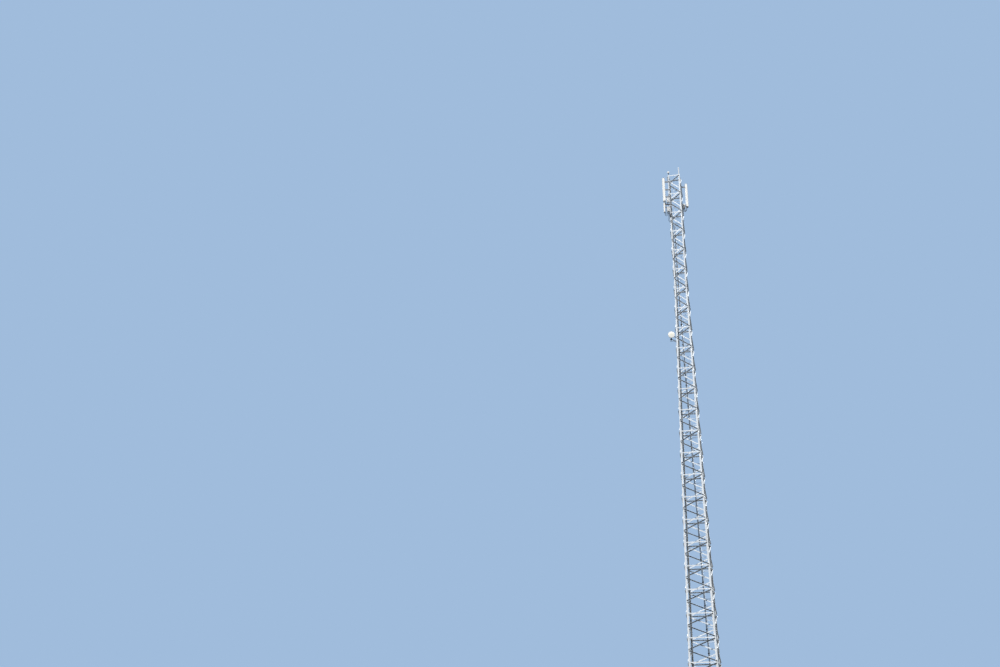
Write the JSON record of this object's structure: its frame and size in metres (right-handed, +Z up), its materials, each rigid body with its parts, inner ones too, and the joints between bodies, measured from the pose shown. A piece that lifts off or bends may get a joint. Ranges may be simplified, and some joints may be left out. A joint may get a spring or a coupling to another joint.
{
  "type": "lattice cell tower",
  "caption": "Slender square self-supporting lattice tower of bolted steel angles, with panel antennas, radios, a small dish, a ladder and feeder cables.",
  "frame": {"origin": "on the tower's axis, in the plane of the base plates' undersides", "axes": "+Z up the tower, +Y from the front face to the ladder face, +X to the right as seen from the front"},
  "size_m": [1.47, 1.7927, 24.4202],
  "materials": {
    "galvanised_steel": "hot-dip galvanised, dull bright grey",
    "cable_jacket": "satin black jacket",
    "clamp_plastic": "matt black",
    "antenna_cover": "satin off-white",
    "dish_cover": "satin cream-white",
    "radio_housing": "matt light grey paint",
    "dish_radio_housing": "matt grey paint",
    "timing_antenna_cover": "satin white"
  },
  "bodies": {
    "root": {"base_plates": "galvanised_steel", "section_1_legs": "galvanised_steel", "section_2_legs": "galvanised_steel", "section_3_legs": "galvanised_steel", "section_4_legs": "galvanised_steel", "section_1_front_bracing": "galvanised_steel", "section_1_right_bracing": "galvanised_steel", "section_1_back_bracing": "galvanised_steel", "section_1_left_bracing": "galvanised_steel", "section_2_front_bracing": "galvanised_steel", "section_2_right_bracing": "galvanised_steel", "section_2_back_bracing": "galvanised_steel", "section_2_left_bracing": "galvanised_steel", "section_3_front_bracing": "galvanised_steel", "section_3_right_bracing": "galvanised_steel", "section_3_back_bracing": "galvanised_steel", "section_3_left_bracing": "galvanised_steel", "section_4_front_bracing": "galvanised_steel", "section_4_right_bracing": "galvanised_steel", "section_4_back_bracing": "galvanised_steel", "section_4_left_bracing": "galvanised_steel", "splice_plates_1": "galvanised_steel", "splice_plates_2": "galvanised_steel", "splice_plates_3": "galvanised_steel", "lower_ladder": "galvanised_steel", "upper_ladder": "galvanised_steel", "ladder_brackets": "galvanised_steel", "cable_clamps": "clamp_plastic", "feeder_cables": "cable_jacket", "left_antenna": "antenna_cover", "left_small_antenna": "antenna_cover", "left_antenna_pipe": "galvanised_steel", "left_antenna_brackets": "galvanised_steel", "small_antenna_brackets": "galvanised_steel", "right_antenna": "antenna_cover", "right_antenna_pipe": "galvanised_steel", "right_antenna_brackets": "galvanised_steel", "left_upper_radio": "radio_housing", "left_lower_radio": "radio_housing", "right_radio": "radio_housing", "radio_brackets": "galvanised_steel", "jumper_cables": "cable_jacket", "dish_antenna": "dish_cover", "dish_radio": "dish_radio_housing", "dish_mount": "galvanised_steel", "lightning_mast": "galvanised_steel", "timing_antenna": "timing_antenna_cover"}
  },
  "joints": []
}
